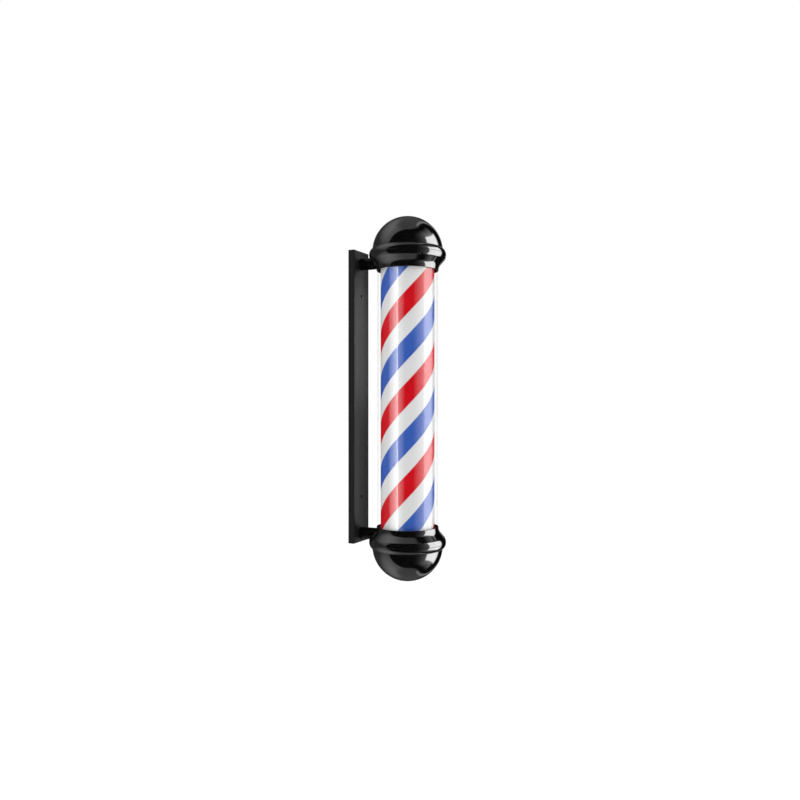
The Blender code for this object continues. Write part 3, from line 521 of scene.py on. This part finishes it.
def collar_outline():
    """Collar section with rounded lips, neck edge and crease."""
    bead = lower_bead(20)
    outside = sharp([(NECK_R, FLARE_FOOT_H)] + flare_points(14)[1:])
    outside += [(CREASE_R, CREASE_H, CREASE_EDGE)] + sharp(bead[1:-1])
    outside += [(BEAD_R, LOWER_LIP_H, SEAM_LIP)]
    inside = sharp([
        (RECESS_R, LOWER_LIP_H),
        (RECESS_R, RECESS_H),
        (CREASE_R - CREASE_WALL, CREASE_H + 1.0 * MM),
        (NECK_R, FLARE_FOOT_H + 0.7 * FLARE_R),
        (NECK_R - NECK_WALL, DECK_TOP_H),
        (DECK_R, DECK_TOP_H),
        (DECK_R, SOCKET_H),
        (TUBE_R + SEAM_GAP, SOCKET_H),
    ])
    neck_edge = [(TUBE_R + SEAM_GAP, 0.0, SOCKET_EDGE), (NECK_R, 0.0, NECK_EDGE)]
    return rounded(outside + inside + neck_edge)


def dome_outline():
    """Dome section with a rounded lip and a small fillet where it leaves the bead."""
    bead = upper_bead(18)
    start = math.degrees(math.asin((DOME_MEET_H - DOME_CENTRE_H) / DOME_R)) + 1.0
    sphere = arc((0.0, DOME_CENTRE_H), DOME_R, start, 90.0, 60)
    inner = DOME_R - CAP_WALL
    hollow = arc((0.0, DOME_CENTRE_H), inner, 90.0, 10.0, 24)
    outside = [(BEAD_R, UPPER_LIP_H, SEAM_LIP)] + sharp(bead[1:-1])
    outside += [(*bead[-1], DOME_FOOT_EDGE)] + sharp(sphere[:-1] + [(0.0, TIP_H)])
    inside = sharp([(0.0, DOME_CENTRE_H + inner)] + hollow[1:] + [
        (BEAD_R - 6.0 * MM, DOME_MEET_H - 3.0 * MM),
        (BEAD_R - 4.0 * MM, SEAM_H + 5.0 * MM),
        (SPIGOT_R[0], SEAM_H + 1.0 * MM),
        (SPIGOT_R[0], SPIGOT_END_H),
        (SPIGOT_R[1], SPIGOT_END_H),
        (SPIGOT_R[1], UPPER_LIP_H),
    ])
    return rounded(outside + inside)


def screw_holes(side):
    """Four radial cutters, one for each dome screw."""
    rim = DOME_SCREW_R + DOME_SCREW_CLEARANCE
    start = DOME_SCREW_HOLE_START_R
    end = cap_radius(DOME_SCREW_H) + DOME_SCREW_HOLE_EXTRA
    outline = [(0.0, start), (rim, start), (rim, end), (0.0, end)]
    tools = []
    for angle in DOME_SCREW_ANGLES:
        place = cap_place(side) @ turn_z(angle) @ radial(DOME_SCREW_H)
        tools.append(new_object(f"hole_{side}_{angle:.0f}", turned(outline, SMALL), place))
    return tools


def grub_screw(name, node, side, angle):
    """A headless screw with a hexagon socket."""
    tip, head = DOME_SCREW_TIP_R, DOME_SCREW_HEAD_R
    outline = rounded([(0.0, tip, 0.0), (DOME_SCREW_POINT_R, tip, 0.0),
                       (DOME_SCREW_R, tip + DOME_SCREW_POINT_H, 0.2 * MM),
                       (DOME_SCREW_R, head, 0.25 * MM), (0.0, head, 0.0)])
    place = cap_place(side) @ turn_z(angle) @ radial(DOME_SCREW_H)
    screw = new_object(name, turned(outline, SMALL), place)
    floor, top = head - DOME_SCREW_SOCKET_DEPTH, head + 1.0 * MM
    socket = [(0.0, floor), (DOME_SCREW_SOCKET_R, floor), (DOME_SCREW_SOCKET_R, top), (0.0, top)]
    bake_cut(screw, [new_object(f"{name}_socket", turned(socket, 6), place)])
    piece(screw, [node], "frame")


def make_cap(side, collar_node, dome_node):
    """Collar and the four screws of one cap, and its dome, which is returned before it is a piece."""
    collar = new_object(f"{collar_node}_shell", turned(collar_outline()), cap_place(side))
    bake_cut(collar, screw_holes(side))
    piece(collar, [collar_node], "frame")
    dome = new_object(f"{dome_node}_shell", turned(dome_outline()), cap_place(side))
    for number, angle in enumerate(DOME_SCREW_ANGLES, 1):
        grub_screw(f"{dome_node}_grub_{number}", f"{dome_node}_screw_{number}", side, angle)
    return dome


# ---------------------------------------------------------- tube and sleeve

def make_tube():
    """Clear tube with polished, slightly rounded ends; its bore has a material of its own."""
    bore_r = TUBE_R - TUBE_WALL
    half = TUBE_HIGH.z
    outline = rounded([(bore_r, -half, TUBE_EDGE), (TUBE_R, -half, TUBE_EDGE),
                       (TUBE_R, half, TUBE_EDGE), (bore_r, half, TUBE_EDGE)], 3)
    tube = new_object("clear_tube", turned(outline, TUBE_SEGMENTS),
                      Matrix.Translation((POLE.x, AXIS_Y, 0.0)))
    bore = [math.hypot(face.center.x - POLE.x, face.center.y - AXIS_Y) < TUBE_R - TUBE_WALL / 2.0
            for face in tube.data.polygons]
    piece(tube, ["outer_tube"], "frame", [MATERIALS["clear_acrylic"], MATERIALS["clear_bore"]])
    for face, inside in zip(tube.data.polygons, bore):
        face.material_index = int(inside)
    return tube


def stripe_edges():
    """Heights of the band edges at STRIPE_ANGLE over one period, with each band's material."""
    half = STRIPE_PERIOD / 2.0
    coloured = STRIPE_COLOURED * half
    red_low = STRIPE_RED_Z - coloured / 2.0
    return [(red_low, 1), (red_low + coloured, 0), (red_low + half, 2), (red_low + half + coloured, 0)]


def make_sleeve():
    """The drum's sleeve: each band is a strip of quads along its helix, so its edges are crisp."""
    half = SLEEVE_HIGH.z
    bm = bmesh.new()
    edges = [(low + turn * STRIPE_PERIOD, index)
             for turn in STRIPE_STARTS for low, index in stripe_edges()]
    grid = []
    for low, _ in edges:
        row = []
        for column in range(STRIPE_COLUMNS):
            turn = column / STRIPE_COLUMNS
            angle = math.radians(STRIPE_ANGLE) + 2.0 * math.pi * turn
            row.append(bm.verts.new((SLEEVE_R * math.cos(angle), SLEEVE_R * math.sin(angle),
                                     low + turn * STRIPE_PITCH)))
        grid.append(row)
    bands_per_turn = 2 * len(stripe_edges())
    for number, (_, index) in enumerate(edges[:-1]):
        for column in range(STRIPE_COLUMNS):
            last = column == STRIPE_COLUMNS - 1
            step = bands_per_turn if last else 0
            after = 0 if last else column + 1
            if number + 1 + step >= len(grid):
                continue
            face = bm.faces.new((grid[number][column], grid[number + step][after],
                                 grid[number + 1 + step][after], grid[number + 1][column]))
            face.material_index = index
    for height, direction in ((half, 1.0), (-half, -1.0)):
        geometry = bm.verts[:] + bm.edges[:] + bm.faces[:]
        bmesh.ops.bisect_plane(bm, geom=geometry, plane_co=(0.0, 0.0, height),
                               plane_no=(0.0, 0.0, direction), clear_outer=True)
    loose = [vert for vert in bm.verts if not vert.link_faces]
    bmesh.ops.delete(bm, geom=loose, context='VERTS')
    outer_rim = [edge for edge in bm.edges if edge.is_boundary]
    inner = bmesh.ops.extrude_edge_only(bm, edges=outer_rim)["geom"]
    scale = (SLEEVE_R - SLEEVE_WALL) / SLEEVE_R
    for vert in (item for item in inner if isinstance(item, bmesh.types.BMVert)):
        vert.co.x *= scale
        vert.co.y *= scale
    rims = [edge for edge in bm.edges if edge.is_boundary]
    bmesh.ops.bridge_loops(bm, edges=rims)
    sleeve = new_object("striped_drum_sleeve", bm, Matrix.Translation((POLE.x, AXIS_Y, 0.0)))
    materials = [MATERIALS[name] for name in ("stripe_white", "stripe_red", "stripe_blue")]
    indices = [polygon.material_index for polygon in sleeve.data.polygons]
    piece(sleeve, ["striped_sleeve"], "drum", materials)
    for polygon, index in zip(sleeve.data.polygons, indices):
        polygon.material_index = index
    return sleeve


# ---------------------------------------------------------- bracket and arms

def make_channel():
    """Folded channel with bend radii and closed ends. Its holes widen behind a thin lip."""
    size = CHANNEL_HIGH - CHANNEL_LOW
    bm = bmesh.new()
    bmesh.ops.create_cube(bm, size=1.0,
                          matrix=Matrix.Translation(CHANNEL) @ Matrix.Diagonal((*size, 1.0)))
    front = [edge for edge in bm.edges
             if all(abs(vert.co.y - CHANNEL_LOW.y) < TOUCHING for vert in edge.verts)]
    sides = [edge for edge in bm.edges
             if abs(edge.verts[0].co.y - edge.verts[1].co.y) > TOUCHING]
    bmesh.ops.bevel(bm, geom=front + sides, offset=CHANNEL_BEND, segments=6, profile=0.5, affect='EDGES')
    channel = new_object("bracket_channel", bm)
    inner = bmesh.new()
    hollow = size - Vector((2.0 * CHANNEL_SHEET, 0.0, 2.0 * CHANNEL_SHEET))
    centre = CHANNEL + Vector((0.0, CHANNEL_SHEET, 0.0))
    bmesh.ops.create_cube(inner, size=1.0,
                          matrix=Matrix.Translation(centre) @ Matrix.Diagonal((*hollow, 1.0)))
    tools = [new_object("channel_hollow", inner)]
    reach = size.y + DRILL_EXTRA
    lip = CHANNEL_LOW.y + WALL_HOLE_LIP
    half = WALL_SCREW_SPACING / 2.0
    for height, radius in ((CHANNEL.z + half, WALL_HOLE_R), (CHANNEL.z - half, WALL_HOLE_R),
                           (ARM.z, NIPPLE_HOLE_R), (-ARM.z, NIPPLE_HOLE_R)):
        outline = [(0.0, -reach), (radius, -reach), (radius, lip), (WALL_HOLE_RELIEF_R, lip),
                   (WALL_HOLE_RELIEF_R, reach), (0.0, reach)]
        place = (Matrix.Translation((CHANNEL.x, 0.0, height))
                 @ Matrix.Rotation(math.radians(-90.0), 4, 'X'))
        tools.append(new_object(f"channel_hole_{height:.3f}", turned(outline, SMALL), place))
    bake_cut(channel, tools)
    return piece(channel, ["wall_bracket"], "frame")


def make_arm(side, node):
    """A sleeve whose end is shaped to the collar, with a rounded edge at the bracket."""
    foot = ARM_HIGH.y
    rings = []
    profile = [(ARM_R - ARM_WALL, foot), (ARM_R - ARM_EDGE, foot)]
    profile += arc((ARM_R - ARM_EDGE, foot - ARM_EDGE), ARM_EDGE, 90.0, 0.0, 4)[1:]
    bm = bmesh.new()
    for radius, y in profile + [(ARM_R, None), (ARM_R - ARM_WALL, None)]:
        ring = []
        for index in range(MEDIUM):
            angle = 2.0 * math.pi * index / MEDIUM
            x = radius * math.cos(angle)
            h = ARM_H + radius * math.sin(angle)
            if y is None:
                reach = cap_radius(min(h, LOWER_LIP_H)) + ARM_GAP
                depth = AXIS_Y + math.sqrt(reach ** 2 - x ** 2)
            else:
                depth = y
            ring.append(bm.verts.new((POLE.x + x, depth, side * (CAP_Z + h))))
        rings.append(ring)
    for near, far in zip(rings, rings[1:] + rings[:1]):
        for index in range(MEDIUM):
            after = (index + 1) % MEDIUM
            bm.faces.new((near[index], near[after], far[after], far[index]))
    arm = new_object(f"{node}_sleeve", bm)
    piece(arm, [node], "frame", [MATERIALS["deep_black"]])


# ----------------------------------------------------------------- switches

def switch_seat(joint_name):
    """Hinge centre and frame of a switch: +Z out of the dome, +Y along the hinge."""
    joint = next(item for item in frame["joints"] if item["name"] == joint_name)
    centre = Vector(joint["pos_m"])
    hinge = Vector(joint["axis"]).normalized()
    ball = Vector((POLE.x, AXIS_Y, -(CAP_Z + DOME_CENTRE_H)))
    outwards = (centre - ball).normalized()
    cross = hinge.cross(outwards).normalized()
    place = Matrix((cross, hinge, outwards)).transposed().to_4x4()
    place.translation = centre
    return place


def make_switch(joint_name, body_node, rocker_node, rocker_body):
    """Round switch body and its two-slope rocker; returns the cutter for its hole and flat seat."""
    place = switch_seat(joint_name)
    hole = [(0.0, -SWITCH_HOLE_DEPTH), (SWITCH_HOLE_R, -SWITCH_HOLE_DEPTH), (SWITCH_HOLE_R, 0.0),
            (SWITCH_SEAT_R, 0.0), (SWITCH_SEAT_R, SWITCH_SEAT_CLEARANCE), (0.0, SWITCH_SEAT_CLEARANCE)]
    tool = new_object(f"{body_node}_hole", turned(hole, MEDIUM), place)

    outline = rounded([
        (0.0, -SWITCH_BODY_DEPTH, 0.0), (SWITCH_BODY_R, -SWITCH_BODY_DEPTH, 0.8 * MM),
        (SWITCH_BODY_R, BEZEL_FOOT, 0.0), (BEZEL_R, BEZEL_FOOT, 0.2 * MM),
        (BEZEL_R, BEZEL_TOP, 0.9 * MM), (POCKET_R, BEZEL_TOP, 0.4 * MM),
        (POCKET_R, -POCKET_DEPTH, 0.0), (0.0, -POCKET_DEPTH, 0.0)], 6)
    body = new_object(f"{body_node}_shell", turned(outline, MEDIUM), place)
    piece(body, [body_node], "frame")

    outline = rounded([
        (0.0, -ROCKER_HALF, 0.0), (ROCKER_EDGE_R, -ROCKER_HALF, 0.4 * MM), (ROCKER_WAIST_R, 0.0, 0.0),
        (ROCKER_EDGE_R, ROCKER_HALF, 0.5 * MM), (ROCKER_DISH_R, ROCKER_DISH_H, 0.0),
        (0.0, ROCKER_DISH_H, 0.0)], 5)
    bm = turned(outline, MEDIUM)
    for vert in bm.verts:
        if vert.co.z > ROCKER_TOP_H:
            vert.co.z += ROCKER_SLOPE * abs(vert.co.x) - ROCKER_DROP
    tilt = Matrix.Rotation(math.radians(ROCKER_TILT), 4, 'Y')
    rocker = new_object(f"{rocker_node}_cap", bm, place @ tilt)
    piece(rocker, [rocker_node], rocker_body)
    return tool


# ------------------------------------------------------ camera, light, floor

def make_camera():
    """Level camera near the pole's middle height, on its side and a little in front."""
    azimuth = math.radians(VIEW_AZIMUTH)
    towards = Vector((math.sin(azimuth), -math.cos(azimuth), 0.0))
    right = Vector((math.cos(azimuth), math.sin(azimuth), 0.0))
    camera_data = bpy.data.cameras.new("camera")
    camera_data.lens = LENS
    camera_data.sensor_width = SENSOR
    camera_data.clip_start = 0.05
    camera = bpy.data.objects.new("camera", camera_data)
    bpy.context.scene.collection.objects.link(camera)
    side = right * VIEW_SIDE_SHIFT
    camera.location = Vector((POLE.x, AXIS_Y, VIEW_HEIGHT)) + towards * VIEW_DISTANCE + side
    camera.rotation_euler = (math.radians(90.0), 0.0, azimuth)
    bpy.context.scene.camera = camera


def make_studio():
    """White surroundings; glossy surfaces see a softbox and its spill on the right, and soft
    grey overhead and on the left, around a dark front.

    The studio is the same above and below the horizon. Bearings are degrees
    from the camera's side of the pole, positive to the right.
    """
    world = bpy.data.worlds.new("studio")
    bpy.context.scene.world = world
    world.use_nodes = True
    nodes = Nodes(world.node_tree)
    coords = nodes.add("ShaderNodeTexCoord").outputs["Generated"]
    turn = nodes.add("ShaderNodeVectorRotate", rotation_type='Z_AXIS')
    nodes.feed(turn.inputs["Vector"], coords)
    turn.inputs["Angle"].default_value = -math.radians(270.0 + VIEW_AZIMUTH)
    split = nodes.add("ShaderNodeSeparateXYZ")
    nodes.feed(split.inputs["Vector"], turn.outputs["Vector"])
    front, side, up = split.outputs
    bearing = nodes.math('DEGREES', nodes.math('ARCTAN2', side, front))
    rise = nodes.math('ABSOLUTE', up)
    height = nodes.math('DEGREES', nodes.math('ARCSINE', rise))

    box = nodes.times(nodes.ramp(bearing, 65.0, 69.5), nodes.ramp(bearing, 115.0, 125.0, 1.0, 0.0),
                      nodes.ramp(height, 33.0, 38.5, 1.0, 0.0), SOFTBOX)
    halo = nodes.times(nodes.ramp(bearing, 66.0, 80.0), nodes.ramp(bearing, 100.0, 116.0, 1.0, 0.0),
                       nodes.ramp(height, 37.0, 46.0, 1.0, 0.0), HALO)
    spill = nodes.math('POWER', nodes.ramp(bearing, 15.0, 68.0, 0.0, 1.0, False), 2.5)
    spill = nodes.times(spill, nodes.ramp(bearing, 106.0, 120.0, 1.0, 0.0),
                        nodes.ramp(height, 42.0, 58.0, 1.0, 0.0), SPILL)

    ahead = nodes.math('MAXIMUM', front, 0.0)
    right = nodes.math('MAXIMUM', side, 0.0)
    forward = nodes.math('SQRT', nodes.math('ADD', nodes.math('MULTIPLY', ahead, ahead),
                                            nodes.math('MULTIPLY', right, right)))
    around = nodes.ramp(forward, 0.35, 0.43, 1.0, 0.0)
    lift = nodes.math('ADD', nodes.math('MULTIPLY', front, 0.8), nodes.math('MULTIPLY', rise, 1.5))
    grey = nodes.times(around, nodes.ramp(lift, 0.0, 0.9, 0.35, 1.0), GREY)
    ridge = nodes.times(around, nodes.ramp(lift, 0.3, 1.15, 0.0, 1.0, False),
                        nodes.ramp(side, -0.35, -0.05, 1.0, 0.0), nodes.ramp(rise, 0.86, 0.99, 1.0, 0.0),
                        nodes.ramp(front, -0.1, 0.35, 1.0, 0.45), RIDGE)
    rim = nodes.times(nodes.ramp(forward, 0.27, 0.33), nodes.ramp(forward, 0.35, 0.40, 1.0, 0.0),
                      nodes.ramp(side, 0.15, 0.30), nodes.ramp(front, -0.05, 0.10, 1.0, 0.0), RIM)

    total = box
    for part in (halo, spill, grey, ridge, rim):
        total = nodes.math('ADD', total, part)
    glossy = nodes.add("ShaderNodeLightPath").outputs["Is Glossy Ray"]
    mix = nodes.add("ShaderNodeMix", data_type='FLOAT')
    nodes.feed(mix.inputs["Factor"], glossy)
    mix.inputs["A"].default_value = 1.0
    nodes.feed(mix.inputs["B"], total)
    background = world.node_tree.nodes["Background"]
    nodes.feed(background.inputs["Strength"], mix.outputs["Result"])
    background.inputs["Color"].default_value = (1.0, 1.0, 1.0, 1.0)


def soft_lamp(name, *, bearing, height, distance, size, watts, receivers, ramp=None):
    """An area lamp at a bearing from the camera's side of the pole, lighting only its receivers.

    With a ramp, it grows from dark to bright across its width between those two shares.
    """
    data = bpy.data.lights.new(name, 'AREA')
    data.shape = 'RECTANGLE'
    data.size, data.size_y = size
    data.energy = watts
    lamp = bpy.data.objects.new(name, data)
    bpy.context.scene.collection.objects.link(lamp)
    angle = math.radians(270.0 + VIEW_AZIMUTH + bearing)
    outwards = Vector((math.cos(angle), math.sin(angle), 0.0))
    lamp.location = Vector((POLE.x, AXIS_Y, height)) + outwards * distance
    lamp.rotation_euler = outwards.to_track_quat('Z', 'Y').to_euler()
    lamp.visible_camera = False
    lamp.visible_diffuse = False
    lamp.visible_transmission = False
    group = bpy.data.collections.new(f"{name}_receivers")
    for receiver in receivers:
        group.objects.link(receiver)
    lamp.light_linking.receiver_collection = group
    if ramp:
        data.use_nodes = True
        nodes = Nodes(data.node_tree)
        emission = data.node_tree.nodes["Emission"]
        split = nodes.add("ShaderNodeSeparateXYZ")
        nodes.feed(split.inputs["Vector"], nodes.add("ShaderNodeNewGeometry").outputs["Parametric"])
        nodes.feed(emission.inputs["Strength"], nodes.ramp(split.outputs[0], *ramp, 0.0, 1.0, False))


def make_lamps(tube, sleeve, channel):
    """Three tall soft lamps for the tube's two highlights, and a small one for the bracket."""
    tall = {"height": 0.0, "distance": 1.5, "receivers": [tube, sleeve]}
    soft_lamp("left_strip", bearing=-61.0, size=(1.28, 2.4), watts=50.0, ramp=(0.1, 1.0), **tall)
    soft_lamp("left_tail", bearing=-27.0, size=(0.85, 2.4), watts=14.0, ramp=(1.0, 0.0), **tall)
    soft_lamp("right_spill", bearing=44.0, size=(1.21, 2.4), watts=15.0, ramp=(0.0, 1.0), **tall)
    soft_lamp("bracket_glow", bearing=127.0, height=0.17, distance=0.7, size=(0.25, 0.35),
              watts=0.46, receivers=[channel])


def make_floor():
    """Plain pale floor, so wide and so bright that it fades into the white behind it."""
    bm = bmesh.new()
    bmesh.ops.create_circle(bm, cap_ends=True, radius=FLOOR_R, segments=64,
                            matrix=Matrix.Translation((0.0, 0.0, FLOOR_Z)))
    floor = new_object("studio_floor", bm)
    material = bpy.data.materials.new("pale_floor")
    material.use_nodes = True
    nodes = Nodes(material.node_tree)
    shader = material.node_tree.nodes["Principled BSDF"]
    tone = nodes.tint(nodes.noise(0.8, 2.0), (0.80, 0.80, 0.80), (0.84, 0.84, 0.84))
    nodes.feed(shader.inputs["Base Color"], tone)
    shader.inputs["Roughness"].default_value = 0.9
    shader.inputs["Emission Color"].default_value = (1.0, 1.0, 1.0, 1.0)
    seen = nodes.add("ShaderNodeLightPath").outputs["Is Camera Ray"]
    glow = nodes.ramp(seen, 0.0, 1.0, FLOOR_GLOW, FLOOR_GLOW_SEEN, False)
    nodes.feed(shader.inputs["Emission Strength"], glow)
    floor.data.materials.append(material)
    floor.visible_glossy = False


def finish_cad_nodes():
    """The nodes kept from the frame get the finish of their slot."""
    for name, obj in frame["nodes"].items():
        for slot in obj.material_slots:
            slot.material = MATERIALS[SLOT_OF_NODE[name]]


def main():
    make_camera()
    finish_cad_nodes()
    top = make_cap(1, "upper_collar", "top_dome")
    bottom = make_cap(-1, "lower_collar", "bottom_dome")
    piece(top, ["top_dome"], "frame")
    tools = [
        make_switch("light_switch_press", "light_switch_body", "light_rocker", "light_key"),
        make_switch("motor_switch_press", "motor_switch_body", "motor_rocker", "motor_key"),
    ]
    bake_cut(bottom, tools)
    piece(bottom, ["bottom_dome"], "frame")
    tube = make_tube()
    sleeve = make_sleeve()
    channel = make_channel()
    make_arm(1, "upper_arm")
    make_arm(-1, "lower_arm")
    make_studio()
    make_lamps(tube, sleeve, channel)
    make_floor()
    scene = bpy.context.scene
    scene.view_settings.view_transform = 'Standard'
    scene.view_settings.look = 'None'


main()
